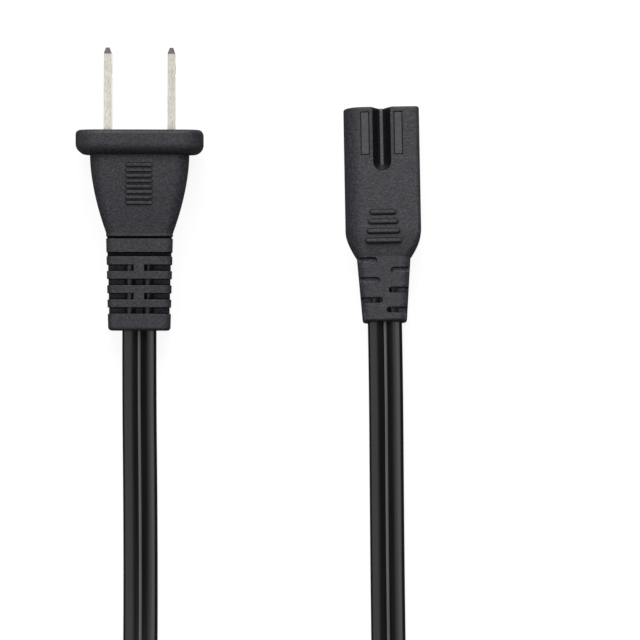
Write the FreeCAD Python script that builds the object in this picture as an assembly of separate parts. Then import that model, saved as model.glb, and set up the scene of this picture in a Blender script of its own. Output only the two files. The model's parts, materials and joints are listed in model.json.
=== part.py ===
import FreeCAD
import Part
import math
import os

# Moulded two-pole mains cord set: a polarised figure-eight connector, its flat two-core cord
# and the two-blade plug on the cord's far end. The connector lies on its broad face, with its
# mating face towards +Y, the squared side towards +X and the cord leaving towards -Y.
# Millimetres, +Z up, origin under the middle of the connector.

Vector = FreeCAD.Vector

# Connector moulding
connector_width = 15.1
connector_thickness = 8.2
connector_body_length = 24.9
connector_shoulder_length = 5.2
connector_shoulder_power = 1.6
squared_side_radius = 0.9
round_side_flat = 0.3
nose_edge_radius = 0.45

# Waist groove on both broad faces
groove_length = 13.0
groove_width = 3.65
groove_floor_width = 0.6
groove_depth = 2.8

# Grip ribs on both broad faces of the connector
grip_rib_count = 4
grip_rib_from_nose = 21.3
grip_rib_pitch = 1.91
grip_rib_width = 0.9
grip_rib_height = 0.45
grip_rib_chamfer = 0.25
grip_rib_first_length = 5.2
grip_rib_length_step = 0.65

# Connector strain relief
connector_relief_length = 12.85
connector_relief_width = 10.7
connector_relief_end_width = 8.8
connector_relief_thickness = 6.6
connector_relief_end_thickness = 6.0
connector_relief_corner = 1.6
connector_relief_end_radius = 0.5
relief_slot_count = 6
relief_slot_height = 1.2
relief_slot_pitch = 1.99
relief_slot_first = 0.75
relief_slot_reach = 1.35
relief_slot_reach_step = 0.49
shallow_slot_depth = 0.9
deep_slot_depth = 1.75
shallow_slot_count = 3

# Connector insert, its sockets and its locating pads
insert_length = 14.0
insert_lobe_radius = 2.5
insert_web_thickness = 1.6
socket_spacing = 8.6
socket_mouth_radius = 1.45
socket_mouth_length = 1.2
socket_mouth_chamfer = 0.35
pad_spacing = 6.65
pad_width = 1.35
pad_length = 8.35
pad_from_nose = 1.2
pad_proud = 0.12
pad_rim_width = 0.2
pad_rim_depth = 0.3

# Connector contacts, rolled from brass strip
contact_bore_radius = 1.25
contact_wall = 0.45
contact_sleeve_length = 10.5
contact_neck_length = 1.5
contact_slit = 0.5

# Crimp barrels and bare conductors, alike at both ends of the cord
conductor_radius = 0.6
crimp_wall = 0.4
crimp_length = 4.0
bare_conductor_length = 1.3
stripped_seat_length = 2.0

# Flat two-core cord
cord_width = 6.85
cord_thickness = 3.2
cord_web_thickness = 1.1
core_bend_radius = 2.5
core_lead_length = 1.0

# Plug moulding, measured back from the flange face
flange_width = 25.4
flange_height = 15.5
flange_length = 4.75
flange_corner = 4.2
flange_front_radius = 0.9
flange_back_radius = 2.0
plug_body_length = 16.4
plug_body_width = 19.7
plug_body_height = 11.6
plug_body_power = 1.75
plug_body_corner = 2.6
plug_waist_width = 13.2
plug_waist_height = 8.6
plug_waist_corner = 1.6
plug_waist_band = 0.65
plug_rib_count = 8
plug_rib_from_flange = 2.2
plug_rib_pitch = 1.08
plug_rib_length = 5.1
plug_rib_width = 0.55
plug_rib_height = 0.3

# Plug strain relief
plug_relief_length = 18.8
plug_relief_width = 13.2
plug_relief_end_width = 12.3
plug_relief_height = 8.4
plug_relief_end_height = 7.8
plug_relief_corner = 1.2
plug_relief_end_radius = 0.7
parting_groove_width = 0.45
parting_groove_depth = 0.7
second_groove_from_waist = 3.6
second_groove_width = 0.85
second_groove_depth = 0.8
plug_slot_count = 4
plug_slot_first = 6.3
plug_slot_pitch = 2.84
plug_slot_height = 1.3
plug_slot_side_depth = 0.22
plug_slot_web = 2.4
plug_slot_bridge = 2.1

# Plug blades and their carrier
blade_spacing = 12.7
blade_thickness = 1.5
blade_length = 16.5
blade_height = 6.35
wide_blade_height = 7.9
blade_tip_length = 1.2
blade_tip_thickness = 0.7
blade_hole_radius = 1.6
blade_hole_from_flange = 11.7
blade_shank_length = 6.4
blade_stem_length = 1.2
blade_stem_height = 2.4
blade_crimp_inset = 0.8
carrier_width = 17.4
carrier_height = 9.4
carrier_length = 4.4
carrier_from_flange = 1.6

# Where the plug lies beside the connector
plug_beside = 48.3
plug_behind_nose = 4.0
plug_yaw = -1.1

# Put-away coil and its tie
coil_inner_radius = 30.7
coil_outer_radius = 45.7
coil_height = 13.8
coil_back = 141.0
tie_width = 9.0
tie_thickness = 0.6

# Hand-chosen points of the two leads after they leave the mouldings
lead_straight = 12.3
connector_lead = [
    Vector(-0.2, -54.0, 1.6),
    Vector(-0.4, -75.0, 1.7),
    Vector(0.2, -95.8, 2.2),
    Vector(5.0, -112.0, 3.2),
]
plug_lead = [
    Vector(-49.4, -56.0, 1.7),
    Vector(-49.6, -76.0, 2.4),
    Vector(-50.2, -95.8, 5.6),
    Vector(-54.4, -112.0, 9.5),
]

# Places that follow from the sizes
connector_length = connector_body_length + connector_shoulder_length + connector_relief_length
nose_y = connector_length / 2
tail_y = -connector_length / 2
relief_y = tail_y + connector_relief_length
connector_z = grip_rib_height + connector_thickness / 2
contact_outer_radius = contact_bore_radius + contact_wall
crimp_radius = conductor_radius + crimp_wall
crimp_spacing = blade_spacing - 2 * blade_crimp_inset
lobe_radius = cord_thickness / 2
lobe_x = cord_width / 2 - lobe_radius
plug_waist_y = -flange_length - plug_body_length
plug_tail_y = plug_waist_y - plug_relief_length

# Helper sizes: cutters pass clear through, and edges within the match lie on one plane
through = 100.0
edge_match = 1e-4
loft_steps = 5
bend_share = 0.45


def rounded_section(y, width, height, left_radius, right_radius):
    """Wire across the Y axis: a rectangle with one corner radius on each side."""
    corners = [
        (-1, 1, left_radius),
        (-1, -1, left_radius),
        (1, -1, right_radius),
        (1, 1, right_radius),
    ]
    arcs = []
    for side, end, radius in corners:
        centre_x = side * (width / 2 - radius)
        centre_z = end * (height / 2 - radius)
        reach = radius * math.sqrt(0.5)
        on_end = Vector(centre_x, y, end * height / 2)
        on_corner = Vector(centre_x + side * reach, y, centre_z + end * reach)
        on_side = Vector(side * width / 2, y, centre_z)
        if side * end < 0:
            arcs.append((on_end, on_corner, on_side))
        else:
            arcs.append((on_side, on_corner, on_end))
    edges = []
    for index, (start, middle, finish) in enumerate(arcs):
        next_start = arcs[(index + 1) % len(arcs)][0]
        edges.append(Part.Arc(start, middle, finish).toShape())
        edges.append(Part.LineSegment(finish, next_start).toShape())
    return Part.Wire(edges)


def prism(wire, length):
    """Solid drawn from a wire along Y."""
    return Part.Face(wire).extrude(Vector(0, length, 0))


def round_end(solid, y, radius):
    """Round the edges of the flat end of a solid at one Y."""
    box_edges = []
    for edge in solid.Edges:
        low = edge.BoundBox.YMin
        high = edge.BoundBox.YMax
        if abs(low - y) < edge_match and abs(high - y) < edge_match:
            box_edges.append(edge)
    return solid.makeFillet(radius, box_edges)


def block(width, height, y_low, y_high):
    """Box centred on the Y axis."""
    corner = Vector(-width / 2, y_low, -height / 2)
    return Part.makeBox(width, y_high - y_low, height, corner)


def bar(x_low, x_high, y, width, z_low, z_high):
    """Bar along X with half-round ends."""
    radius = width / 2
    left = x_low + radius
    right = x_high - radius
    edges = [
        Part.LineSegment(Vector(left, y + radius, z_low), Vector(right, y + radius, z_low)),
        Part.Arc(
            Vector(right, y + radius, z_low), Vector(x_high, y, z_low), Vector(right, y - radius, z_low)
        ),
        Part.LineSegment(Vector(right, y - radius, z_low), Vector(left, y - radius, z_low)),
        Part.Arc(
            Vector(left, y - radius, z_low), Vector(x_low, y, z_low), Vector(left, y + radius, z_low)
        ),
    ]
    outline = Part.Wire([edge.toShape() for edge in edges])
    return Part.Face(outline).extrude(Vector(0, 0, z_high - z_low))


def both_faces(solid):
    """A feature of the upper broad face and its copy on the lower one."""
    copy = solid.copy()
    copy.rotate(Vector(0, 0, 0), Vector(0, 1, 0), 180)
    flipped = copy.mirror(Vector(0, 0, 0), Vector(1, 0, 0))
    return [solid, flipped]


def turned(profile, x):
    """Solid of revolution about an axis along Y, from (radius, y) points."""
    points = [Vector(x + radius, y, 0) for radius, y in profile]
    points.append(points[0])
    face = Part.Face(Part.makePolygon(points))
    return face.revolve(Vector(x, 0, 0), Vector(0, 1, 0), 360)


def rounded_path(points, radii):
    """Wire of straight runs joined by tangent arcs, one radius for each inner point."""
    edges = []
    start = points[0]
    for index in range(1, len(points) - 1):
        corner = points[index]
        before = (corner - points[index - 1]).normalize()
        after = (points[index + 1] - corner).normalize()
        half_turn = before.getAngle(after) / 2
        radius = radii[index - 1]
        setback = radius * math.tan(half_turn)
        inward = (after - before).normalize()
        centre = corner + inward * (radius / math.cos(half_turn))
        arc_start = corner - before * setback
        arc_end = corner + after * setback
        edges.append(Part.LineSegment(start, arc_start).toShape())
        edges.append(Part.Arc(arc_start, centre - inward * radius, arc_end).toShape())
        start = arc_end
    edges.append(Part.LineSegment(start, points[-1]).toShape())
    return Part.Wire(edges)


def swept(section, path):
    """Solid drawn along a path with as little twist as the path allows."""
    pipe = Part.BRepOffsetAPI.MakePipeShell(path)
    pipe.setFrenetMode(False)
    pipe.add(section)
    pipe.build()
    pipe.makeSolid()
    return pipe.shape()


def cord_section(y):
    """Section of the flat cord: two round lobes joined by a thin web."""
    web = cord_web_thickness / 2
    web_x = lobe_x - math.sqrt(lobe_radius**2 - web**2)
    edges = [
        Part.Arc(Vector(-web_x, y, web), Vector(-cord_width / 2, y, 0), Vector(-web_x, y, -web)),
        Part.LineSegment(Vector(-web_x, y, -web), Vector(web_x, y, -web)),
        Part.Arc(Vector(web_x, y, -web), Vector(cord_width / 2, y, 0), Vector(web_x, y, web)),
        Part.LineSegment(Vector(web_x, y, web), Vector(-web_x, y, web)),
    ]
    return Part.Wire([edge.toShape() for edge in edges])


def tapered(y_start, y_end, start, end, power, steps):
    """Loft whose sections close in slowly at first; start and end are width, height and two radii."""
    wires = []
    for step in range(steps + 1):
        share = step / steps
        closed = share**power
        sizes = [low + (high - low) * closed for low, high in zip(start, end)]
        wires.append(rounded_section(y_start + (y_end - y_start) * share, *sizes))
    return Part.makeLoft(wires, True, steps == 1)


# Pin entry at the mating face, flared at its rim
def socket_mouth(x):
    mouth_y = nose_y - socket_mouth_length
    rim_y = nose_y - socket_mouth_chamfer
    flare = socket_mouth_radius + socket_mouth_chamfer
    outline = [
        (0, mouth_y),
        (socket_mouth_radius, mouth_y),
        (socket_mouth_radius, rim_y),
        (flare, nose_y),
        (0, nose_y),
    ]
    return turned(outline, x)


# Connector insert: hard carrier moulded round two socket chambers, flush with the mating face.
# Four locating pads stand on it and show through the soft moulding beside the waist grooves.
def connector_insert():
    solids = []
    back_y = nose_y - insert_length
    web = block(socket_spacing, insert_web_thickness, back_y, nose_y)
    for side in (-1, 1):
        x = side * socket_spacing / 2
        lobe = Part.makeCylinder(insert_lobe_radius, insert_length, Vector(x, back_y, 0), Vector(0, 1, 0))
        pad_x = side * pad_spacing / 2 - pad_width / 2
        pad_y = nose_y - pad_from_nose - pad_length
        pad_reach = connector_thickness / 2 + pad_proud
        pad = Part.makeBox(pad_width, pad_length, 2 * pad_reach, Vector(pad_x, pad_y, -pad_reach))
        solids.extend([lobe, pad])
    body = web.fuse(solids).removeSplitter()
    for side in (-1, 1):
        x = side * socket_spacing / 2
        chamber_length = insert_length - socket_mouth_length
        chamber = Part.makeCylinder(
            contact_outer_radius, chamber_length, Vector(x, back_y, 0), Vector(0, 1, 0)
        )
        body = body.cut([socket_mouth(x), chamber])
    return body


# Contacts: brass strip rolled to a split sleeve that grips the pin, necked down to a crimp barrel
contact_front_y = nose_y - socket_mouth_length
contact_neck_y = contact_front_y - contact_sleeve_length
contact_crimp_y = contact_neck_y - contact_neck_length
contact_back_y = contact_crimp_y - crimp_length


def contact_envelope(x):
    outline = [
        (0, contact_back_y),
        (crimp_radius, contact_back_y),
        (crimp_radius, contact_crimp_y),
        (contact_outer_radius, contact_neck_y),
        (contact_outer_radius, contact_front_y),
        (0, contact_front_y),
    ]
    return turned(outline, x)


def connector_contact(x):
    hollow = [
        (0, contact_back_y),
        (conductor_radius, contact_back_y),
        (conductor_radius, contact_crimp_y),
        (contact_bore_radius, contact_neck_y),
        (contact_bore_radius, contact_front_y),
        (0, contact_front_y),
    ]
    slit_low = Vector(x - contact_slit / 2, contact_neck_y, 0)
    slit = Part.makeBox(contact_slit, contact_sleeve_length, contact_outer_radius, slit_low)
    return contact_envelope(x).cut(turned(hollow, x)).cut(slit)


# Cord end: the last length of flat cord inside a moulding, with its two cores fanned out
def core_path(x, contact_x, flat_y, end_y):
    points = [
        Vector(x, flat_y, 0),
        Vector(x, flat_y + core_lead_length, 0),
        Vector(contact_x, end_y - stripped_seat_length - core_lead_length, 0),
        Vector(contact_x, end_y, 0),
    ]
    return rounded_path(points, [core_bend_radius, core_bend_radius])


def cord_end(outlet_y, flat_y, end_y, contact_spacing):
    flat = prism(cord_section(outlet_y), flat_y - outlet_y)
    cores = []
    for side in (-1, 1):
        path = core_path(side * lobe_x, side * contact_spacing / 2, flat_y, end_y)
        ring = Part.makeCircle(lobe_radius, Vector(side * lobe_x, flat_y, 0), Vector(0, 1, 0))
        cores.append(swept(Part.Wire([ring]), path))
    return flat.fuse(cores)


def bare_conductor(x, seat_y, tip_y):
    return Part.makeCylinder(conductor_radius, tip_y - seat_y, Vector(x, seat_y, 0), Vector(0, 1, 0))


# Connector moulding: soft PVC moulded in one shot round the insert, the contacts and the cord end
def connector_shell():
    body_radius = (connector_thickness - round_side_flat) / 2
    body_sizes = (connector_width, connector_thickness, body_radius, squared_side_radius)
    relief_sizes = (
        connector_relief_width,
        connector_relief_thickness,
        connector_relief_corner,
        connector_relief_corner,
    )
    end_sizes = (
        connector_relief_end_width,
        connector_relief_end_thickness,
        connector_relief_corner,
        connector_relief_corner,
    )
    shoulder_y = nose_y - connector_body_length
    body = prism(rounded_section(nose_y, *body_sizes), shoulder_y - nose_y)
    body = round_end(body.cut(waist_grooves()), nose_y, nose_edge_radius)
    shoulder = tapered(shoulder_y, relief_y, body_sizes, relief_sizes, connector_shoulder_power, loft_steps)
    relief = tapered(relief_y, tail_y, relief_sizes, end_sizes, 1, 1)
    relief = round_end(relief, tail_y, connector_relief_end_radius)
    return body.fuse([shoulder, relief])


def grip_ribs():
    ribs = []
    face_z = connector_thickness / 2
    for index in range(grip_rib_count):
        half_length = (grip_rib_first_length + index * grip_rib_length_step) / 2
        y = nose_y - grip_rib_from_nose - index * grip_rib_pitch
        top_z = face_z + grip_rib_height
        rib = bar(-half_length, half_length, y, grip_rib_width, face_z - grip_rib_width, top_z)
        crown = [edge for edge in rib.Edges if abs(edge.BoundBox.ZMin - top_z) < edge_match]
        ribs.extend(both_faces(rib.makeChamfer(grip_rib_chamfer, crown)))
    return ribs


def waist_grooves():
    face_z = connector_thickness / 2
    floor_z = face_z - groove_depth
    slope = (groove_width - groove_floor_width) / 2 / groove_depth
    over = 1.0
    half_floor = groove_floor_width / 2
    half_mouth = groove_width / 2 + slope * over
    end_y = nose_y - groove_length + groove_width / 2
    half = Part.makePolygon([
        Vector(0, end_y, floor_z),
        Vector(half_floor, end_y, floor_z),
        Vector(half_mouth, end_y, face_z + over),
        Vector(0, end_y, face_z + over),
        Vector(0, end_y, floor_z),
    ])
    full = Part.makePolygon([
        Vector(-half_floor, end_y, floor_z),
        Vector(half_floor, end_y, floor_z),
        Vector(half_mouth, end_y, face_z + over),
        Vector(-half_mouth, end_y, face_z + over),
        Vector(-half_floor, end_y, floor_z),
    ])
    round_tail = Part.Face(half).revolve(Vector(0, end_y, 0), Vector(0, 0, 1), 360)
    groove = prism(full, nose_y - end_y + over).fuse(round_tail)
    return both_faces(groove)


def pad_rims():
    rims = []
    width = pad_width + 2 * pad_rim_width
    length = pad_length + 2 * pad_rim_width
    floor_z = connector_thickness / 2 - pad_rim_depth
    y = nose_y - pad_from_nose - pad_length - pad_rim_width
    for side in (-1, 1):
        corner = Vector(side * pad_spacing / 2 - width / 2, y, floor_z)
        rims.extend(both_faces(Part.makeBox(width, length, connector_thickness, corner)))
    return rims


def relief_slots():
    slots = []
    taper = (connector_relief_thickness - connector_relief_end_thickness) / 2 / connector_relief_length
    for index in range(relief_slot_count):
        from_top = relief_slot_first + index * relief_slot_pitch
        side = -1 if index % 2 == 0 else 1
        reach = relief_slot_reach - (index // 2) * relief_slot_reach_step
        depth = shallow_slot_depth if index < shallow_slot_count else deep_slot_depth
        floor_z = connector_relief_thickness / 2 - taper * from_top - depth
        ends = sorted((side * reach, side * connector_width))
        y = relief_y - from_top
        slot = bar(ends[0], ends[1], y, relief_slot_height, floor_z, connector_thickness)
        slots.extend(both_faces(slot))
    return slots


# Plug moulding: flange, waisted body and slotted strain relief in one shot of soft PVC
def plug_body_share(y):
    return ((-flange_length - y) / (plug_body_length - plug_waist_band)) ** plug_body_power


def plug_shell():
    flange_sizes = (flange_width, flange_height, flange_corner, flange_corner)
    flange = prism(rounded_section(0, *flange_sizes), -flange_length)
    flange = round_end(flange, 0, flange_front_radius)
    flange = round_end(flange, -flange_length, flange_back_radius)
    body_sizes = (plug_body_width, plug_body_height, plug_body_corner, plug_body_corner)
    waist_sizes = (plug_waist_width, plug_waist_height, plug_waist_corner, plug_waist_corner)
    band_y = plug_waist_y + plug_waist_band
    body = tapered(-flange_length, band_y, body_sizes, waist_sizes, plug_body_power, loft_steps)
    band = prism(rounded_section(band_y, *waist_sizes), -plug_waist_band)
    relief_sizes = (plug_relief_width, plug_relief_height, plug_relief_corner, plug_relief_corner)
    end_sizes = (plug_relief_end_width, plug_relief_end_height, plug_relief_corner, plug_relief_corner)
    relief = tapered(plug_waist_y, plug_tail_y, relief_sizes, end_sizes, 1, 1)
    relief = round_end(relief, plug_tail_y, plug_relief_end_radius)
    return flange.fuse([body, band, relief])


def plug_grip_ribs():
    ribs = []
    for index in range(plug_rib_count):
        y = -flange_length - plug_rib_from_flange - index * plug_rib_pitch
        closed = plug_body_share(y - plug_rib_width / 2)
        face_z = (plug_body_height + (plug_waist_height - plug_body_height) * closed) / 2
        corner = Vector(-plug_rib_length / 2, y - plug_rib_width / 2, face_z - plug_rib_width)
        rib = Part.makeBox(plug_rib_length, plug_rib_width, plug_rib_width + plug_rib_height, corner)
        ribs.extend(both_faces(rib))
    return ribs


def relief_ring(from_waist, width, side_depth, core_height):
    """Cutter for a ring-shaped gap that leaves a core of one height in the plug's strain relief."""
    y = plug_waist_y - from_waist
    share = from_waist / plug_relief_length
    outer_width = plug_relief_width + (plug_relief_end_width - plug_relief_width) * share
    ring = block(through, through, y - width / 2, y + width / 2)
    core = block(outer_width - 2 * side_depth, core_height, y - width / 2, y + width / 2)
    return ring.cut(core)


def plug_relief_gaps():
    parting_core = plug_relief_height - 2 * parting_groove_depth
    second_core = plug_relief_height - 2 * second_groove_depth
    gaps = [
        relief_ring(parting_groove_width / 2, parting_groove_width, plug_slot_side_depth, parting_core),
        relief_ring(second_groove_from_waist, second_groove_width, plug_slot_side_depth, second_core),
    ]
    for index in range(plug_slot_count):
        from_waist = plug_slot_first + index * plug_slot_pitch
        gap = relief_ring(from_waist, plug_slot_height, plug_slot_side_depth, plug_slot_web)
        if index % 2 == 0:
            y = plug_waist_y - from_waist
            half_slot = plug_slot_height / 2
            gap = gap.cut(block(plug_slot_bridge, through, y - half_slot, y + half_slot))
        gaps.append(gap)
    return gaps


# Blades: flat strip with a chamfered tip and a hole, carried on by a shank to a crimp barrel
blade_back_y = -blade_shank_length
blade_crimp_y = blade_back_y - blade_stem_length
blade_end_y = blade_crimp_y - crimp_length


def plug_blade(x, crimp_x, height):
    half = blade_thickness / 2
    half_tip = blade_tip_thickness / 2
    outline = Part.makePolygon([
        Vector(x - half, blade_back_y, -height / 2),
        Vector(x + half, blade_back_y, -height / 2),
        Vector(x + half, blade_length - blade_tip_length, -height / 2),
        Vector(x + half_tip, blade_length, -height / 2),
        Vector(x - half_tip, blade_length, -height / 2),
        Vector(x - half, blade_length - blade_tip_length, -height / 2),
        Vector(x - half, blade_back_y, -height / 2),
    ])
    blade = Part.Face(outline).extrude(Vector(0, 0, height))
    tip = [
        edge for edge in blade.Edges
        if abs(edge.BoundBox.YMin - blade_length) < edge_match and edge.BoundBox.XLength > half_tip
    ]
    blade = blade.makeChamfer(blade_tip_length, tip)
    hole = Part.makeCylinder(
        blade_hole_radius, through, Vector(x - through / 2, blade_hole_from_flange, 0), Vector(1, 0, 0)
    )
    stem_low = Vector(x - half, blade_crimp_y, -blade_stem_height / 2)
    stem = Part.makeBox(blade_thickness, blade_stem_length, blade_stem_height, stem_low)
    barrel = [
        (conductor_radius, blade_end_y),
        (crimp_radius, blade_end_y),
        (crimp_radius, blade_crimp_y),
        (conductor_radius, blade_crimp_y),
    ]
    return blade.cut(hole).fuse([stem, turned(barrel, crimp_x)]).removeSplitter()


def plug_tilt():
    """Angle at which the plug rests on its flange's back edge and its strain relief's end."""
    end_radius = plug_relief_end_radius
    slope = math.atan2((plug_relief_height - plug_relief_end_height) / 2, plug_relief_length)
    end_rise = end_radius / math.cos(slope) - end_radius * math.tan(slope)
    flange_touch = Vector(0, flange_back_radius - flange_length, flange_back_radius - flange_height / 2)
    end_touch = Vector(0, plug_tail_y + end_radius, end_rise - plug_relief_end_height / 2)
    between = flange_touch - end_touch
    lean = math.atan2(between.z, between.y)
    lean -= math.asin((flange_back_radius - end_radius) / between.Length)
    turn = FreeCAD.Rotation(Vector(1, 0, 0), math.degrees(-lean))
    drop = Vector(0, 0, flange_back_radius - turn.multVec(flange_touch).z)
    return turn, drop


# Leads: plain flat cord from each moulding to the coil
def lead(outlet, heading, section, points, name):
    route = [outlet, outlet + heading * lead_straight] + points
    radii = []
    for index in range(1, len(route) - 1):
        before = route[index] - route[index - 1]
        after = route[index + 1] - route[index]
        shorter = min(before.Length, after.Length)
        radii.append(bend_share * shorter / math.tan(before.getAngle(after) / 2))
    path = rounded_path(route, radii)
    solid = swept(section, path)
    print(name, "bend radii", [round(radius, 1) for radius in radii])
    volume = Part.Face(section).Area * path.Length
    print(name, "length", round(path.Length, 1), "volume share", round(solid.Volume / volume, 4))
    return solid


# Coil: outer shape of the wound cord, and the flat tie round one side of it
def wound_ring(grow):
    low_z = tie_thickness - grow
    height = coil_height + 2 * grow
    centre = Vector(-plug_beside / 2, -coil_back, low_z)
    ring = Part.makeCylinder(coil_outer_radius + grow, height, centre)
    return ring.cut(Part.makeCylinder(coil_inner_radius - grow, height, centre))


def cord_tie(coil):
    reach = coil_outer_radius + 2 * tie_thickness
    corner = Vector(-plug_beside / 2 - tie_width / 2, -coil_back - reach, 0)
    span = Part.makeBox(tie_width, reach, coil_height + 2 * tie_thickness, corner)
    return wound_ring(tie_thickness).common(span).cut(coil)


# Connector assembly, built about its own axis
nodes = {}
insert = connector_insert()
flat_start_y = relief_y + connector_shoulder_length / 2
core_tip_y = contact_back_y - bare_conductor_length
connector_cord = cord_end(tail_y, flat_start_y, core_tip_y, socket_spacing)
shell = connector_shell().fuse(grip_ribs()).removeSplitter()
shell = shell.cut(relief_slots()).cut(pad_rims()).cut(insert)
for side, word in ((-1, "left"), (1, "right")):
    x = side * socket_spacing / 2
    conductor = bare_conductor(x, core_tip_y - stripped_seat_length, contact_crimp_y)
    connector_cord = connector_cord.cut(conductor)
    shell = shell.cut([socket_mouth(x), contact_envelope(x), conductor])
    nodes["connector_contact_" + word] = connector_contact(x)
    nodes["connector_conductor_" + word] = conductor
nodes["connector_insert"] = insert
nodes["connector_cord_end"] = connector_cord
nodes["connector_overmould"] = shell.cut(connector_cord)
for name in nodes:
    nodes[name].translate(Vector(0, 0, connector_z))

# Plug assembly, built about its own axis and then laid down beside the connector
plug = {}
plug_flat_y = plug_waist_y - second_groove_from_waist
plug_core_tip_y = blade_end_y - bare_conductor_length
plug_cord = cord_end(plug_tail_y, plug_flat_y, plug_core_tip_y, crimp_spacing)
plug_moulding = plug_shell().fuse(plug_grip_ribs()).removeSplitter().cut(plug_relief_gaps())
carrier = block(carrier_width, carrier_height, -carrier_from_flange - carrier_length, -carrier_from_flange)
for side, word, height in ((-1, "left", wide_blade_height), (1, "right", blade_height)):
    x = side * blade_spacing / 2
    crimp_x = side * crimp_spacing / 2
    blade = plug_blade(x, crimp_x, height)
    conductor = bare_conductor(crimp_x, plug_core_tip_y - stripped_seat_length, blade_crimp_y)
    plug_cord = plug_cord.cut(conductor)
    carrier = carrier.cut(blade)
    plug_moulding = plug_moulding.cut([blade, conductor])
    plug["plug_blade_" + word] = blade
    plug["plug_conductor_" + word] = conductor
plug["plug_blade_carrier"] = carrier
plug["plug_cord_end"] = plug_cord
plug["plug_overmould"] = plug_moulding.cut([carrier, plug_cord])
tilt, drop = plug_tilt()
turn = FreeCAD.Rotation(Vector(0, 0, 1), plug_yaw).multiply(tilt)
place = FreeCAD.Placement(Vector(-plug_beside, nose_y - plug_behind_nose, 0) + drop, turn)
for name in plug:
    nodes[name] = plug[name].copy()
    nodes[name].transformShape(place.toMatrix(), True)

# Cord between the two mouldings
coil = wound_ring(0)
connector_outlet = Vector(0, tail_y, connector_z)
connector_profile = cord_section(tail_y)
connector_profile.translate(Vector(0, 0, connector_z))
from_connector = lead(
    connector_outlet, Vector(0, -1, 0), connector_profile, connector_lead, "cord_from_connector"
)
plug_outlet = place.multVec(Vector(0, plug_tail_y, 0))
plug_profile = cord_section(plug_tail_y)
plug_profile.Placement = place
to_plug = lead(plug_outlet, turn.multVec(Vector(0, -1, 0)), plug_profile, plug_lead, "cord_to_plug")
nodes["cord_from_connector"] = from_connector.cut(coil)
nodes["cord_to_plug"] = to_plug.cut(coil)
nodes["cord_coil"] = coil
nodes["cord_tie"] = cord_tie(coil)

os.makedirs("parts", exist_ok=True)
for name, shape in nodes.items():
    state = "valid" if shape.isValid() else "not valid"
    print(name, len(shape.Solids), "solid", state, round(shape.Volume, 1))
    shape.exportStep("parts/" + name + ".step")
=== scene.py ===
import json
import math

import bpy
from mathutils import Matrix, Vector


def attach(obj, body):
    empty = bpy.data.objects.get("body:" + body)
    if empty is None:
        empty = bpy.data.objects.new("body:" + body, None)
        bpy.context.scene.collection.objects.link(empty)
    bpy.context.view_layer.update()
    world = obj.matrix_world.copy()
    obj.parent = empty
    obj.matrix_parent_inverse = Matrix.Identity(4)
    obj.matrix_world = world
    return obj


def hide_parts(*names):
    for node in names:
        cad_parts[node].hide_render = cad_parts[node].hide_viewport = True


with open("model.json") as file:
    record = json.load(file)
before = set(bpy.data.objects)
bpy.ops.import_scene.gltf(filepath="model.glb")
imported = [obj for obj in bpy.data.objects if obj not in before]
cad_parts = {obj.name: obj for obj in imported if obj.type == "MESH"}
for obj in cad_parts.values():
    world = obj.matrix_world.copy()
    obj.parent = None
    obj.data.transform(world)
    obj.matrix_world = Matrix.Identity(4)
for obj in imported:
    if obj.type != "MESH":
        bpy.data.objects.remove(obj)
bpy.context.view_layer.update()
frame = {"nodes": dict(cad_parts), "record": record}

# Connector contacts
# Two split sleeves rolled from brass strip, pushed into the insert's chambers, with crimp
# barrels that grip the bare ends of the cores.

brass_colours = ((0.55, 0.36, 0.14), (0.8, 0.62, 0.3))
brass_roughness = (0.22, 0.4)
tarnish_size = 1.6
tarnish_span = (0.3, 0.62)
rolling_size = 0.08
rolling_stretch = (1, 14, 1)
rolling_depth = 0.01


def begin_finish(name):
    """Start a finish: its material, node tree, shader, and the piece's own place in millimetres."""
    finish = bpy.data.materials.new(name)
    finish.use_nodes = True
    tree = finish.node_tree
    place = tree.nodes.new("ShaderNodeTexCoord")
    millimetres = tree.nodes.new("ShaderNodeMapping")
    millimetres.inputs["Scale"].default_value = (1000, 1000, 1000)
    tree.links.new(place.outputs["Object"], millimetres.inputs["Vector"])
    return finish, tree, tree.nodes["Principled BSDF"], millimetres.outputs["Vector"]


def add_noise(tree, place, size, stretch=(1, 1, 1), detail=2.0):
    """Noise with spots of about the given size in millimetres, drawn out by stretch along each axis."""
    drawn = tree.nodes.new("ShaderNodeMapping")
    drawn.inputs["Scale"].default_value = [1 / (size * s) for s in stretch]
    tree.links.new(place, drawn.inputs["Vector"])
    noise = tree.nodes.new("ShaderNodeTexNoise")
    noise.inputs["Scale"].default_value = 1
    noise.inputs["Detail"].default_value = detail
    tree.links.new(drawn.outputs["Vector"], noise.inputs["Vector"])
    return noise.outputs["Fac"]


def add_blend(tree, amount, colours, span=(0.3, 0.7)):
    """Go from the first to the second of two colours or greys while an amount goes through a span."""
    ramp = tree.nodes.new("ShaderNodeValToRGB")
    for step, spot, colour in zip(ramp.color_ramp.elements, span, colours):
        step.position = spot
        step.color = (*colour, 1) if isinstance(colour, tuple) else (colour, colour, colour, 1)
    tree.links.new(amount, ramp.inputs["Fac"])
    return ramp.outputs["Color"]


def add_bump(tree, shader, height, depth, softened=None):
    """Press a height pattern into the surface, or into its softened edges, its depth in millimetres."""
    bump = tree.nodes.new("ShaderNodeBump")
    bump.inputs["Strength"].default_value = 1
    bump.inputs["Distance"].default_value = depth / 1000
    tree.links.new(height, bump.inputs["Height"])
    if softened:
        tree.links.new(softened, bump.inputs["Normal"])
    tree.links.new(bump.outputs["Normal"], shader.inputs["Normal"])


def coat_solids(finish, names):
    """Give named solids of the frame one finish."""
    for name in names:
        mesh = frame["nodes"][name].data
        mesh.materials.clear()
        mesh.materials.append(finish)


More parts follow.
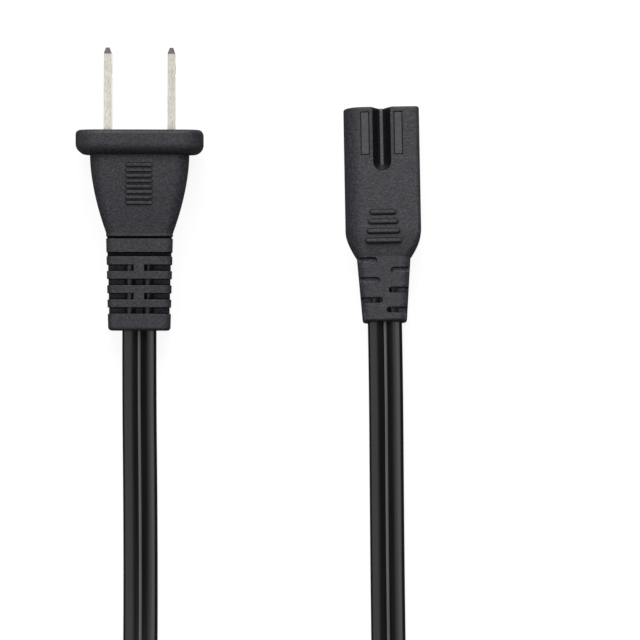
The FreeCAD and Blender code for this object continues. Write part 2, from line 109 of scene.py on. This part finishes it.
brass, tree, shader, place = begin_finish("rolled_brass")
tarnish = add_noise(tree, place, tarnish_size)
rolling = add_noise(tree, place, rolling_size, rolling_stretch)
shader.inputs["Metallic"].default_value = 1
tree.links.new(add_blend(tree, tarnish, brass_colours, tarnish_span), shader.inputs["Base Color"])
tree.links.new(add_blend(tree, rolling, brass_roughness), shader.inputs["Roughness"])
add_bump(tree, shader, rolling, rolling_depth)
coat_solids(brass, ["connector_contact_left", "connector_contact_right"])

# Bare conductors
# Bright copper strands at the ends of the cores, stripped of their insulation and crimped in the
# contacts and in the blades.

copper_colours = ((0.42, 0.16, 0.08), (0.82, 0.44, 0.28))
copper_roughness = 0.34
strand_size = 0.2
strand_stretch = (1, 12, 1)
strand_span = (0.35, 0.65)
strand_depth = 0.05

copper, tree, shader, place = begin_finish("bare_copper")
strands = add_noise(tree, place, strand_size, strand_stretch)
shader.inputs["Metallic"].default_value = 1
tree.links.new(add_blend(tree, strands, copper_colours, strand_span), shader.inputs["Base Color"])
shader.inputs["Roughness"].default_value = copper_roughness
add_bump(tree, shader, strands, strand_depth)
coat_solids(
    copper,
    [
        "connector_conductor_left",
        "connector_conductor_right",
        "plug_conductor_left",
        "plug_conductor_right",
    ],
)

# Connector insert and blade carrier
# Hard carriers of grey polypropylene, injection moulded, that hold the contacts and the blades
# while the soft PVC is moulded round them.

carrier_colours = ((0.036, 0.035, 0.039), (0.058, 0.057, 0.062))
carrier_roughness = (0.52, 0.64)
carrier_flow_size = 0.7
carrier_grain_size = 0.3
carrier_grain_depth = 0.05
fine_detail = 4

carrier, tree, shader, place = begin_finish("carrier_plastic")
flow = add_noise(tree, place, carrier_flow_size, detail=fine_detail)
grain = add_noise(tree, place, carrier_grain_size, detail=fine_detail)
tree.links.new(add_blend(tree, flow, carrier_colours), shader.inputs["Base Color"])
tree.links.new(add_blend(tree, grain, carrier_roughness), shader.inputs["Roughness"])
add_bump(tree, shader, grain, carrier_grain_depth)
coat_solids(carrier, ["connector_insert", "plug_blade_carrier"])

# Connector overmould
# Soft charcoal PVC, injection moulded round the insert and the cord's end in one shot. The tool is
# spark-eroded, which leaves a matt grain. The waist grooves are smoother, with painted shade on their
# walls and a painted highlight along their floors, and painted light makes the floors of the slots and of
# the pads' rims pale.

pvc_colours = ((0.0148, 0.014, 0.0179), (0.0365, 0.0345, 0.0435))
pvc_roughness = (0.52, 0.68)
flow_size = 0.6
flow_span = (0.32, 0.68)
flow_detail = 5
grain_size = 0.42
grain_depth = 0.11
speck_size = 0.26
speck_span = (0.58, 0.74)
speck_colour = (0.085, 0.082, 0.095)
# Painted shade: how near other faces must be before colour and gloss darken in corners and recesses
painted_shade_reach = 0.0003
painted_shade_shares = (0.1, 1)
painted_shade_span = (0.62, 0.97)
edge_radius = 0.00016
ray_samples = 8
# Painted shade for the waist grooves' walls and a painted highlight along their floors
waist_painted_shade_and_highlight = ((0.006, 0.006, 0.007), (0.07, 0.068, 0.075))
waist_span = (0.2, 0.8)
waist_roughness = 0.3

# Zones of the moulding, in millimetres from the middle of its mating face
waist_half = 1.86
waist_ahead = -6.075
waist_half_length = 7
waist_lip = 4.02
waist_floor = 1.36
slot_half = 4.1
slot_ahead = -36.575
slot_half_length = 6.1
slot_floor = 2.6
# Painted light that makes the slots' floors pale
slot_painted_light = (3.2, 3.2, 3.2)
rim_beside = 3.325
rim_half = 0.9
rim_ahead = -5.375
rim_half_length = 4.4
rim_floor = 4.05
# Painted light that makes the pads' rims pale
rim_painted_light = (3, 3, 3)


def mix_in(tree, share, other, target, way="MIX"):
    """Mix another colour or number into what leads to a socket, as far as a share goes."""
    mix = tree.nodes.new("ShaderNodeMix")
    if target.type == "RGBA":
        mix.data_type = "RGBA"
        mix.blend_type = way
    sockets = [socket for socket in mix.inputs if socket.enabled]
    for socket, value in zip(sockets, (share, target.links[0].from_socket, other)):
        if isinstance(value, bpy.types.NodeSocket):
            tree.links.new(value, socket)
        else:
            socket.default_value = (*value, 1) if isinstance(value, tuple) else value
    result = next(socket for socket in mix.outputs if socket.enabled)
    tree.links.new(result, target)


def pvc_finish(name):
    """Moulded PVC with a spark-eroded grain, mottled flow marks, bright specks, and painted shade
    darkening its colour and gloss in corners.
    """
    finish, tree, shader, place = begin_finish(name)
    flow = add_noise(tree, place, flow_size, detail=flow_detail)
    grain = add_noise(tree, place, grain_size, detail=fine_detail)
    specks = add_noise(tree, place, speck_size)
    tree.links.new(add_blend(tree, flow, pvc_colours, flow_span), shader.inputs["Base Color"])
    mix_in(tree, add_blend(tree, specks, (0, 1), speck_span), speck_colour, shader.inputs["Base Color"])
    # Painted shade in corners: colour and gloss are darkened where the piece's own faces are near
    corners = tree.nodes.new("ShaderNodeAmbientOcclusion")
    corners.only_local = True
    corners.samples = ray_samples
    corners.inputs["Distance"].default_value = painted_shade_reach
    painted_shade_factor = add_blend(tree, corners.outputs["AO"], painted_shade_shares, painted_shade_span)
    mix_in(tree, 1, painted_shade_factor, shader.inputs["Base Color"], "MULTIPLY")
    tree.links.new(painted_shade_factor, shader.inputs["Specular Tint"])
    tree.links.new(add_blend(tree, grain, pvc_roughness), shader.inputs["Roughness"])
    edges = tree.nodes.new("ShaderNodeBevel")
    edges.samples = ray_samples
    edges.inputs["Radius"].default_value = edge_radius
    add_bump(tree, shader, grain, grain_depth, edges.outputs["Normal"])
    return finish, tree, shader, place


def add_sum(tree, operation, first, second=None):
    """One sum on a value, with a number or a second value."""
    node = tree.nodes.new("ShaderNodeMath")
    node.operation = operation
    for socket, term in zip(node.inputs, (first, second)):
        if isinstance(term, (int, float)):
            socket.default_value = term
        elif term is not None:
            tree.links.new(term, socket)
    return node.outputs["Value"]


def add_vector_sum(tree, operation, vector, constant):
    """One sum on a vector with a fixed second vector, as a node."""
    node = tree.nodes.new("ShaderNodeVectorMath")
    node.operation = operation
    tree.links.new(vector, node.inputs[0])
    node.inputs[1].default_value = constant
    return node


def inside(tree, *spans):
    """A share that is 1 where each value lies closer to its middle than its half width."""
    share = 1
    for value, middle, half in spans:
        apart = add_sum(tree, "ABSOLUTE", add_sum(tree, "SUBTRACT", value, middle))
        share = add_sum(tree, "MULTIPLY", add_sum(tree, "LESS_THAN", apart, half), share)
    return share


mounts = {mount["name"]: mount for mount in frame["record"]["mounts"]}
mating_face = Vector(mounts["mating_face"]["pos_m"]) * 1000

connector_pvc, tree, shader, place = pvc_finish("connector_pvc")
parts = tree.nodes.new("ShaderNodeSeparateXYZ")
from_face = add_vector_sum(tree, "SUBTRACT", place, mating_face)
tree.links.new(from_face.outputs["Vector"], parts.inputs["Vector"])
across, ahead, up = (parts.outputs[axis] for axis in "XYZ")
beside = add_sum(tree, "ABSOLUTE", across)
# Painted light on the floors of the slots and of the pads' rims
in_slot = inside(tree, (across, 0, slot_half), (ahead, slot_ahead, slot_half_length), (up, 0, slot_floor))
mix_in(tree, in_slot, slot_painted_light, shader.inputs["Base Color"], "MULTIPLY")
in_rim = inside(
    tree, (beside, rim_beside, rim_half), (ahead, rim_ahead, rim_half_length), (up, 0, rim_floor)
)
mix_in(tree, in_rim, rim_painted_light, shader.inputs["Base Color"], "MULTIPLY")
# Painted shade darkens the waist grooves' walls, with a painted highlight along their floors
in_waist = inside(
    tree, (across, 0, waist_half), (ahead, waist_ahead, waist_half_length), (up, 0, waist_lip)
)
on_floor = inside(tree, (up, 0, waist_floor))
waist_colour = add_blend(tree, on_floor, waist_painted_shade_and_highlight, waist_span)
mix_in(tree, in_waist, waist_colour, shader.inputs["Base Color"])
mix_in(tree, in_waist, waist_roughness, shader.inputs["Roughness"])
coat_solids(connector_pvc, ["connector_overmould"])

# Plug blades
# Two flat brass blades, stamped, nickel plated and crimped to the cores, with a round hole near each tip;
# the plating is dulled by use, and the slopes of the tips are painted dark as painted shade.

plate_colours = ((0.6, 0.58, 0.5), (0.9, 0.875, 0.805))
# Painted shade on the slopes of the tips
tip_painted_shade_colours = ((0.17, 0.167, 0.162), (0.32, 0.312, 0.3))
plate_roughness = (0.3, 0.42)
drawing_size = 0.12
drawing_stretch = (1, 30, 1)
drawing_depth = 0.008
dulled_size = 0.22
dulled_stretch = (1, 4, 1)
tip_ahead = 15.208


def ahead_of_flange(tree, place):
    """How far a place lies ahead of the plug's flange along the tilted blades, in millimetres."""
    flange = Vector(mounts["blades"]["pos_m"]) * 1000
    from_flange = add_vector_sum(tree, "SUBTRACT", place, flange)
    reach = add_vector_sum(tree, "DOT_PRODUCT", from_flange.outputs["Vector"], mounts["blades"]["axis"])
    return reach.outputs["Value"]


nickel, tree, shader, place = begin_finish("nickel_plate")
drawing = add_noise(tree, place, drawing_size, drawing_stretch)
dulled = add_noise(tree, place, dulled_size, dulled_stretch, fine_detail)
shader.inputs["Metallic"].default_value = 1
at_tip = add_sum(tree, "GREATER_THAN", ahead_of_flange(tree, place), tip_ahead)
tree.links.new(add_blend(tree, dulled, plate_colours), shader.inputs["Base Color"])
# Painted shade on the slopes of the tips, past tip_ahead along the blades
mix_in(tree, at_tip, add_blend(tree, dulled, tip_painted_shade_colours), shader.inputs["Base Color"])
tree.links.new(add_blend(tree, drawing, plate_roughness), shader.inputs["Roughness"])
add_bump(tree, shader, drawing, drawing_depth)
coat_solids(nickel, ["plug_blade_left", "plug_blade_right"])

# Plug overmould
# The same soft PVC, moulded round the blade carrier, the blades and the cord's other end in one shot.
# Painted shade darkens the colour and gloss of the two grooves round the start of its strain relief.

parting_groove_ahead = -21.375
parting_groove_half = 0.26
second_groove_ahead = -24.75
second_groove_half = 0.43
# Painted shade for the two grooves, on colour and gloss
groove_painted_shade = (0.3, 0.3, 0.3)

plug_pvc, tree, shader, place = pvc_finish("plug_pvc")
ahead = ahead_of_flange(tree, place)
for middle, half in (
    (parting_groove_ahead, parting_groove_half),
    (second_groove_ahead, second_groove_half),
):
    # Painted shade darkens the colour and the gloss in both grooves
    in_groove = inside(tree, (ahead, middle, half))
    for property_name in ("Base Color", "Specular Tint"):
        mix_in(tree, in_groove, groove_painted_shade, shader.inputs[property_name], "MULTIPLY")
coat_solids(plug_pvc, ["plug_overmould"])

# Cord tie
# A strip of black woven hook-and-loop tape, wrapped once round the coil's turns and pressed on its
# own start, with a loop pile on its outer side, worn off where it lies on the table.

coil_centre = Vector((-0.02415, -0.141, 0))
tape_width = 0.009
tape_thickness = 0.00055
tape_lap = 0.0006325
tape_inner = 0.0308
tape_outer = 0.0453
tape_low = 0.0003
tape_high = 0.0147
tape_corner = 0.0024
tape_start = 0.0035
tape_end = 0.0112
tape_flare = 0.0005
tape_end_share = 0.8
tape_crease = 40
corner_steps = 8
width_steps = 10
tape_colours = ((0.014, 0.014, 0.015), (0.055, 0.055, 0.059))
tape_roughness = 0.9
weave_scale = 0.55
weave_waver = 0.6
weave_span = (0.1, 0.8)
weave_depth = 0.1
yarn_colours = ((0.03, 0.03, 0.033), (0.085, 0.085, 0.092))
yarn_roughness = 0.7
yarn_fading_size = 0.6
yarn_radius = 0.000035
yarn_corners = 3
loops_per_area = 2.6e6
loop_radius = 0.00026
loop_corners = 9
loop_lean = 0.5
loop_seed = 7
worn_facing = -0.3


def put(name, data):
    """Put a mesh, curve, lamp or camera into the scene."""
    item = bpy.data.objects.new(name, data)
    bpy.context.collection.objects.link(item)
    return item


def settled_mesh(item):
    """Plain mesh of what an object's modifiers or its curve make."""
    bpy.context.view_layer.update()
    return bpy.data.meshes.new_from_object(item.evaluated_get(bpy.context.evaluated_depsgraph_get()))


def skin_over(name, rings, run, around, crease):
    """Closed skin over a row of rings, creased at an angle, mapped in millimetres along and around."""
    count = len(rings[0])
    corners = [corner for ring in rings for corner in ring]
    faces, spots = [], []
    for ring in range(len(rings) - 1):
        for corner in range(count):
            a = ring * count + corner
            b = ring * count + (corner + 1) % count
            faces.append((a, b, b + count, a + count))
            low, high = around[corner] * 1000, around[corner + 1] * 1000
            start, end = run[ring] * 1000, run[ring + 1] * 1000
            spots += [(start, low), (start, high), (end, high), (end, low)]
    faces.append(tuple(reversed(range(count))))
    faces.append(tuple(range((len(rings) - 1) * count, len(rings) * count)))
    spots += [(0, 0)] * (2 * count)
    mesh = bpy.data.meshes.new(name)
    mesh.from_pydata(corners, [], faces)
    along = mesh.uv_layers.new(name="along")
    for entry, spot in zip(along.data, spots):
        entry.uv = spot
    mesh.shade_smooth()
    mesh.set_sharp_from_angle(angle=math.radians(crease))
    return put(name, mesh)


def lengths(points, closed=False):
    """Run from the first point to each of the others, and round to the first where closed."""
    run = [0.0]
    for before, after in zip(points, points[1:] + points[:1] if closed else points[1:]):
        run.append(run[-1] + (Vector(after) - Vector(before)).length)
    return run


def add_map(tree):
    """A piece's own map, in millimetres along and around it."""
    piece_map = tree.nodes.new("ShaderNodeUVMap")
    piece_map.uv_map = "along"
    return piece_map.outputs["UV"]


wrap = [(tape_outer, tape_start, 0.0)]
bends = [
    (tape_outer - tape_corner, tape_high - tape_corner, 0),
    (tape_inner + tape_corner, tape_high - tape_corner, 90),
    (tape_inner + tape_corner, tape_low + tape_corner, 180),
    (tape_outer - tape_corner, tape_low + tape_corner, 270),
]
for out, up, first in bends:
    over = tape_lap if first == 270 else 0
    for step in range(corner_steps + 1):
        share = step / corner_steps
        angle = math.radians(first + 90 * share)
        reach = tape_corner + over * share
        wrap.append((out + reach * math.cos(angle), up + tape_corner * math.sin(angle), angle))
for step in range(1, corner_steps + 1):
    share = step / corner_steps
    lift = tape_flare * share**3
    height = tape_low + tape_corner + (tape_end - tape_low - tape_corner) * share
    wrap.append((tape_outer + tape_lap + lift, height, 2 * math.pi))

half_width = tape_width / 2
half_thick = tape_thickness / 2
flat_half = half_width - half_thick
band = []
for side in (1, -1):
    for step in range(width_steps + 1):
        band.append((side * flat_half * (1 - 2 * step / width_steps), side * half_thick))
    band.append((-side * half_width, 0))

rings, outer_face = [], []
for number, (out, up, angle) in enumerate(wrap):
    facing = Vector((0, -math.cos(angle), math.sin(angle)))
    spot = coil_centre + Vector((0, -out, up))
    narrow = tape_end_share if number == len(wrap) - 1 else 1
    rings.append([spot + Vector((across * narrow, 0, 0)) + facing * rise for across, rise in band])
    for across in (flat_half, -flat_half):
        outer_face.append(spot + Vector((across * narrow, 0, 0)) + facing * half_thick)
run = lengths([coil_centre + Vector((0, -out, up)) for out, up, angle in wrap])
tie = skin_over("cord_tie_band", rings, run, lengths(band, closed=True), tape_crease)

tape, tree, shader, place = begin_finish("woven_tape")
woven = add_map(tree)
threads = []
for direction in ("X", "Y"):
    thread = tree.nodes.new("ShaderNodeTexWave")
    thread.bands_direction = direction
    thread.inputs["Scale"].default_value = weave_scale
    thread.inputs["Distortion"].default_value = weave_waver
    tree.links.new(woven, thread.inputs["Vector"])
    threads.append(thread.outputs["Fac"])
weave = add_sum(tree, "MULTIPLY", *threads)
tree.links.new(add_blend(tree, weave, tape_colours, weave_span), shader.inputs["Base Color"])
shader.inputs["Roughness"].default_value = tape_roughness
add_bump(tree, shader, weave, weave_depth)
tie.data.materials.append(tape)
coat_solids(tape, ["cord_tie"])

yarn, tree, shader, place = begin_finish("pile_yarn")
fading = add_noise(tree, place, yarn_fading_size)
tree.links.new(add_blend(tree, fading, yarn_colours), shader.inputs["Base Color"])
shader.inputs["Roughness"].default_value = yarn_roughness

pile_tree = bpy.data.node_groups.new("loop_pile", "GeometryNodeTree")
sheet = pile_tree.interface
sheet.new_socket("Geometry", in_out="INPUT", socket_type="NodeSocketGeometry")
sockets = {}
for label, kind, value in (
    ("Loops per area", "NodeSocketFloat", loops_per_area),
    ("Loop radius", "NodeSocketFloat", loop_radius),
    ("Yarn radius", "NodeSocketFloat", yarn_radius),
    ("Seed", "NodeSocketInt", loop_seed),
):
    sockets[sheet.new_socket(label, in_out="INPUT", socket_type=kind).identifier] = value
sheet.new_socket("Geometry", in_out="OUTPUT", socket_type="NodeSocketGeometry")
start = pile_tree.nodes.new("NodeGroupInput")
finish = pile_tree.nodes.new("NodeGroupOutput")
scatter = pile_tree.nodes.new("GeometryNodeDistributePointsOnFaces")
loop = pile_tree.nodes.new("GeometryNodeCurvePrimitiveCircle")
loop.inputs["Resolution"].default_value = loop_corners
profile = pile_tree.nodes.new("GeometryNodeCurvePrimitiveCircle")
profile.inputs["Resolution"].default_value = yarn_corners
tube = pile_tree.nodes.new("GeometryNodeCurveToMesh")
stand = pile_tree.nodes.new("GeometryNodeTransform")
stand.inputs["Rotation"].default_value = (math.pi / 2, 0, 0)
plant = pile_tree.nodes.new("GeometryNodeInstanceOnPoints")
spin = pile_tree.nodes.new("FunctionNodeRandomValue")
spin.data_type = "FLOAT_VECTOR"
spin.inputs["Min"].default_value = (-loop_lean, -loop_lean, 0)
spin.inputs["Max"].default_value = (loop_lean, loop_lean, 2 * math.pi)
turn = pile_tree.nodes.new("GeometryNodeRotateInstances")
real = pile_tree.nodes.new("GeometryNodeRealizeInstances")
paint = pile_tree.nodes.new("GeometryNodeSetMaterial")
paint.inputs["Material"].default_value = yarn
link = pile_tree.links.new
link(start.outputs["Geometry"], scatter.inputs["Mesh"])
link(start.outputs["Loops per area"], scatter.inputs["Density"])
link(start.outputs["Seed"], scatter.inputs["Seed"])
link(start.outputs["Loop radius"], loop.inputs["Radius"])
link(start.outputs["Yarn radius"], profile.inputs["Radius"])
link(loop.outputs["Curve"], tube.inputs["Curve"])
link(profile.outputs["Curve"], tube.inputs["Profile Curve"])
link(tube.outputs["Mesh"], stand.inputs["Geometry"])
link(scatter.outputs["Points"], plant.inputs["Points"])
link(scatter.outputs["Rotation"], plant.inputs["Rotation"])
link(stand.outputs["Geometry"], plant.inputs["Instance"])
link(start.outputs["Seed"], spin.inputs["Seed"])
link(plant.outputs["Instances"], turn.inputs["Instances"])
link(spin.outputs[0], turn.inputs["Rotation"])
link(turn.outputs["Instances"], real.inputs["Geometry"])
link(real.outputs["Geometry"], paint.inputs["Geometry"])
link(paint.outputs["Geometry"], finish.inputs["Geometry"])

piled_faces = []
for row in range(len(wrap) - 1):
    if min(math.sin(angle) for out, up, angle in wrap[row : row + 2]) > worn_facing:
        piled_faces.append((2 * row, 2 * row + 1, 2 * row + 3, 2 * row + 2))
ground = bpy.data.meshes.new("cord_tie_ground")
ground.from_pydata(outer_face, [], piled_faces)
backing = put("cord_tie_ground", ground)
growth = backing.modifiers.new("loop_pile", "NODES")
growth.node_group = pile_tree
for identifier, value in sockets.items():
    growth[identifier] = value
pile = put("cord_tie_pile", settled_mesh(backing))
bpy.data.objects.remove(backing)
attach(tie, "root")
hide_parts("cord_tie")
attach(pile, "root")

# Flat cord
# Two insulated cores side by side under one glossy black PVC skin, extruded to a flat oval with a shallow
# groove along its middle, painted lighter with streaks as a painted highlight. It runs from the connector
# to the plug, with its spare length in a coil.

cord_width = 0.00685
cord_thickness = 0.0032
cord_squareness = 2.6
groove_reach = 0.00026
groove_sink = 0.00012
groove_crease = 18
arc_steps = 22
spline_steps = 8
same_spot = 1e-6
layer_low = 0.00405
layer_high = 0.01095
coil_widest = 0.0443
turn_pitch = 0.00345
climb_tuck = 0.25
coil_start = math.radians(30)
coil_turns = 6 + 2 / 3
climb_turns = 0.5
points_per_turn = 24
twist_begins = 0.068
twist_ends = 0.118
skin_colours = ((0.0025, 0.0025, 0.0028), (0.0042, 0.0042, 0.0046))
skin_roughness = (0.18, 0.23)
die_line_size = 0.5
die_line_stretch = (60, 1, 1)
# Painted highlight: the groove's faces are much lighter than the skin
groove_painted_highlight_colours = ((0.038, 0.038, 0.041), (0.058, 0.058, 0.062))
groove_roughness = 0.3
groove_streak_size = 0.3
groove_streak_stretch = (30, 1, 1)
groove_streak_detail = 3
core_roughness = (0.3, 0.38)
core_haze_size = 1.2
core_haze_detail = 3


def share_of(value, first, last):
    """How far a value has come from first to last, from 0 to 1."""
    return min(max((value - first) / (last - first), 0), 1)


def eased(share):
    """A share that starts and ends gently."""
    return share * share * (3 - 2 * share)


route = [
    Vector((0, -0.021475, 0.00455)),
    Vector((0, -0.033775, 0.00455)),
    Vector((-0.0002, -0.054, 0.0016)),
    Vector((-0.0004, -0.075, 0.0017)),
    Vector((-0.0005, -0.0958, 0.0023)),
    Vector((0.006, -0.1105, 0.0038)),
]
layer_turns = (coil_turns - climb_turns) / 2
steps = round(coil_turns * points_per_turn)
for step in range(steps + 1):
    turned = coil_turns * step / steps
    climbed = share_of(turned, layer_turns, layer_turns + climb_turns)
    wound = min(turned, coil_turns - turned, layer_turns)
    radius = coil_widest - turn_pitch * (wound + climb_tuck * math.sin(math.pi * climbed))
    angle = coil_start - 2 * math.pi * turned
    height = layer_low + (layer_high - layer_low) * eased(climbed)
    route.append(coil_centre + Vector((radius * math.cos(angle), radius * math.sin(angle), height)))
route += [
    Vector((-0.0552, -0.1105, 0.0102)),
    Vector((-0.0499, -0.0958, 0.0056)),
    Vector((-0.0496, -0.076, 0.0024)),
    Vector((-0.0494, -0.056, 0.0017)),
    Vector((-0.0492975, -0.0344777, 0.0025311)),
    Vector((-0.0490627, -0.0222477, 0.00382)),
]

line = bpy.data.curves.new("cord_route", "CURVE")
line.dimensions = "3D"
spline = line.splines.new("NURBS")
spline.points.add(len(route) - 1)
for point, spot in zip(spline.points, route):
    point.co = (*spot, 1)
spline.order_u = 3
spline.use_endpoint_u = True
spline.resolution_u = spline_steps
line_object = put("cord_route", line)
traced = settled_mesh(line_object)
spots = [vertex.co.copy() for vertex in traced.vertices]
bpy.data.objects.remove(line_object)
bpy.data.meshes.remove(traced)
path = spots[:1]
path += [spot for before, spot in zip(spots, spots[1:]) if (spot - before).length > same_spot]

half_wide = cord_width / 2
half_deep = cord_thickness / 2
power = 2 / cord_squareness
edge = math.acos((groove_reach / half_wide) ** (1 / power))
outline = []
for side in (1, -1):
    for step in range(arc_steps + 1):
        angle = edge * (2 * step / arc_steps - 1)
        up = math.copysign(abs(math.sin(angle)) ** power, angle)
        outline.append((side * half_wide * math.cos(angle) ** power, side * half_deep * up))
    outline.append((0, side * (half_deep - groove_sink)))

run = lengths(path)
rings = []
for number, spot in enumerate(path):
    ahead = (path[min(number + 1, len(path) - 1)] - path[max(number - 1, 0)]).normalized()
    side = ahead.cross(Vector((0, 0, 1))).normalized()
    rise = side.cross(ahead)
    free = min(run[number], run[-1] - run[number])
    turn = math.pi / 2 * eased(share_of(free, twist_begins, twist_ends))
    wide = side * math.cos(turn) + rise * math.sin(turn)
    thick = rise * math.cos(turn) - side * math.sin(turn)
    rings.append([spot + wide * across - thick * up for across, up in outline])
cord = skin_over("cord", rings, run, lengths(outline, closed=True), groove_crease)

cord_skin, tree, shader, place = begin_finish("cord_skin")
die_lines = add_noise(tree, add_map(tree), die_line_size, die_line_stretch)
tree.links.new(add_blend(tree, die_lines, skin_colours), shader.inputs["Base Color"])
tree.links.new(add_blend(tree, die_lines, skin_roughness), shader.inputs["Roughness"])
groove_skin, tree, shader, place = begin_finish("cord_groove")
# Painted highlight along the cord's groove, streaked
groove_streaks = add_noise(tree, add_map(tree), groove_streak_size, groove_streak_stretch, groove_streak_detail)
tree.links.new(add_blend(tree, groove_streaks, groove_painted_highlight_colours), shader.inputs["Base Color"])
shader.inputs["Roughness"].default_value = groove_roughness
cord.data.materials.append(cord_skin)
cord.data.materials.append(groove_skin)
count = len(outline)
groove_sides = {arc_steps, arc_steps + 1, 2 * arc_steps + 2, 2 * arc_steps + 3}
for face in cord.data.polygons[: (len(path) - 1) * count]:
    face.material_index = 1 if face.index % count in groove_sides else 0

# Both ends of the cord inside the mouldings are the same jacket, painted in two greys as lit and shaded
# copies: lighter in the connector, as painted light in its slots, and darker in the plug, as painted
# shade in its slots
for name, greys, solids in (
    ("connector_core_skin", (0.022, 0.04), ["connector_cord_end", "cord_from_connector", "cord_coil"]),
    ("plug_core_skin", (0.007, 0.014), ["plug_cord_end", "cord_to_plug"]),
):
    core_skin, tree, shader, place = begin_finish(name)
    haze = add_noise(tree, place, core_haze_size, detail=core_haze_detail)
    tree.links.new(add_blend(tree, haze, greys), shader.inputs["Base Color"])
    tree.links.new(add_blend(tree, haze, core_roughness), shader.inputs["Roughness"])
    coat_solids(core_skin, solids)

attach(cord, "root")
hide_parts("cord_from_connector", "cord_coil", "cord_to_plug")

# Studio
# A white table under a softbox at the far side, with dim ones overhead and low at both sides.
# Panels draw the highlights along the cord, and light only that; the table's glow stays off the
# black PVC.

table_reach = 12
table_grey = (0.15, 0.15, 0.15, 1)
table_glow = 0.9
sky_colour = (1, 1, 1, 1)
sky_glow = 0.04
far_spot = Vector((-0.02, 0.72, 0.72))
far_aim = Vector((-0.02, -0.03, 0))
far_size = (0.9, 0.6)
far_power = 11.6
over_spot = Vector((-0.2, -0.22, 0.9))
over_aim = Vector((-0.02, -0.01, 0))
over_size = (0.9, 0.5)
over_power = 2.2
fill_size = (0.8, 0.4)
cord_middle = Vector((-0.024, -0.045, 0))
panel_distance = 1.2
panel_length = 2.2
sensor_width = 36
lens_length = 336.72
camera_spot = (-0.0153, -0.15612, 1.19229)
camera_tilt = math.radians(6.5)
camera_turn = math.radians(-0.995)

floor_mesh = bpy.data.meshes.new("table")
floor_mesh.from_pydata(
    [(x * table_reach, y * table_reach, 0) for x, y in ((-1, -1), (1, -1), (1, 1), (-1, 1))],
    [],
    [(0, 1, 2, 3)],
)
floor = put("table", floor_mesh)
white = bpy.data.materials.new("white_table")
white.use_nodes = True
tree = white.node_tree
tree.nodes.remove(tree.nodes["Principled BSDF"])
matt = tree.nodes.new("ShaderNodeBsdfDiffuse")
matt.inputs["Color"].default_value = table_grey
glow = tree.nodes.new("ShaderNodeEmission")
rays = tree.nodes.new("ShaderNodeLightPath")
seen = add_sum(tree, "MAXIMUM", rays.outputs["Is Camera Ray"], rays.outputs["Is Glossy Ray"])
seen = add_sum(tree, "MAXIMUM", seen, rays.outputs["Is Transmission Ray"])
tree.links.new(add_sum(tree, "MULTIPLY", seen, table_glow), glow.inputs["Strength"])
both = tree.nodes.new("ShaderNodeAddShader")
tree.links.new(matt.outputs["BSDF"], both.inputs[0])
tree.links.new(glow.outputs["Emission"], both.inputs[1])
tree.links.new(both.outputs["Shader"], tree.nodes["Material Output"].inputs["Surface"])
floor_mesh.materials.append(white)

sky = bpy.data.worlds.new("studio")
sky.use_nodes = True
sky.node_tree.nodes["Background"].inputs["Color"].default_value = sky_colour
sky.node_tree.nodes["Background"].inputs["Strength"].default_value = sky_glow
bpy.context.scene.world = sky


def limit_light(lamp, pieces, state):
    """Let a lamp light only the given pieces, or all but them."""
    group = bpy.data.collections.new(lamp.name)
    for piece in pieces:
        group.objects.link(piece)
    for entry in group.collection_objects:
        entry.light_linking.link_state = state
    lamp.light_linking.receiver_collection = group


def add_softbox(name, spot, aim, size, power):
    """A rectangular softbox at spot that faces aim."""
    lamp = bpy.data.lights.new(name, "AREA")
    lamp.shape = "RECTANGLE"
    lamp.size, lamp.size_y = size
    lamp.energy = power
    holder = put(name, lamp)
    holder.location = spot
    holder.rotation_mode = "QUATERNION"
    holder.rotation_quaternion = (aim - spot).to_track_quat("-Z", "Y")
    return holder


soft_pvc = [frame["nodes"]["connector_overmould"], frame["nodes"]["plug_overmould"], cord]
limit_light(floor, soft_pvc, "EXCLUDE")
add_softbox("softbox_far", far_spot, far_aim, far_size, far_power)
overhead = add_softbox("softbox_over", over_spot, over_aim, over_size, over_power)
limit_light(overhead, [cord], "EXCLUDE")
for name, spot, power in (
    ("fill_right", Vector((0.78, 0, 0.22)), 2.4),
    ("fill_left", Vector((-0.82, 0, 0.22)), 1.9),
):
    fill = add_softbox(name, spot, cord_middle, fill_size, power)
    fill.visible_glossy = False
    limit_light(fill, [cord], "EXCLUDE")
# Each panel stands to one side and spans a range of angles from overhead, in degrees
for name, side, first, last, glow in (
    ("panel_left", -1, 17.5, 80, 1.06),
    ("panel_right", 1, 17, 66, 0.95),
    ("panel_right_low", 1, 31, 60, 0.95),
):
    lean = math.radians((first + last) / 2)
    from_cord = Vector((side * math.sin(lean), 0, math.cos(lean))) * panel_distance
    height = 2 * panel_distance * math.tan(math.radians((last - first) / 2))
    power = glow * math.pi * height * panel_length
    panel = add_softbox(name, cord_middle + from_cord, cord_middle, (panel_length, height), power)
    limit_light(panel, [cord], "INCLUDE")

lens = bpy.data.cameras.new("camera")
lens.sensor_width = sensor_width
lens.lens = lens_length
camera = put("camera", lens)
camera.location = camera_spot
camera.rotation_euler = (camera_tilt, 0, camera_turn)
bpy.context.scene.camera = camera
bpy.context.scene.view_settings.view_transform = "Standard"
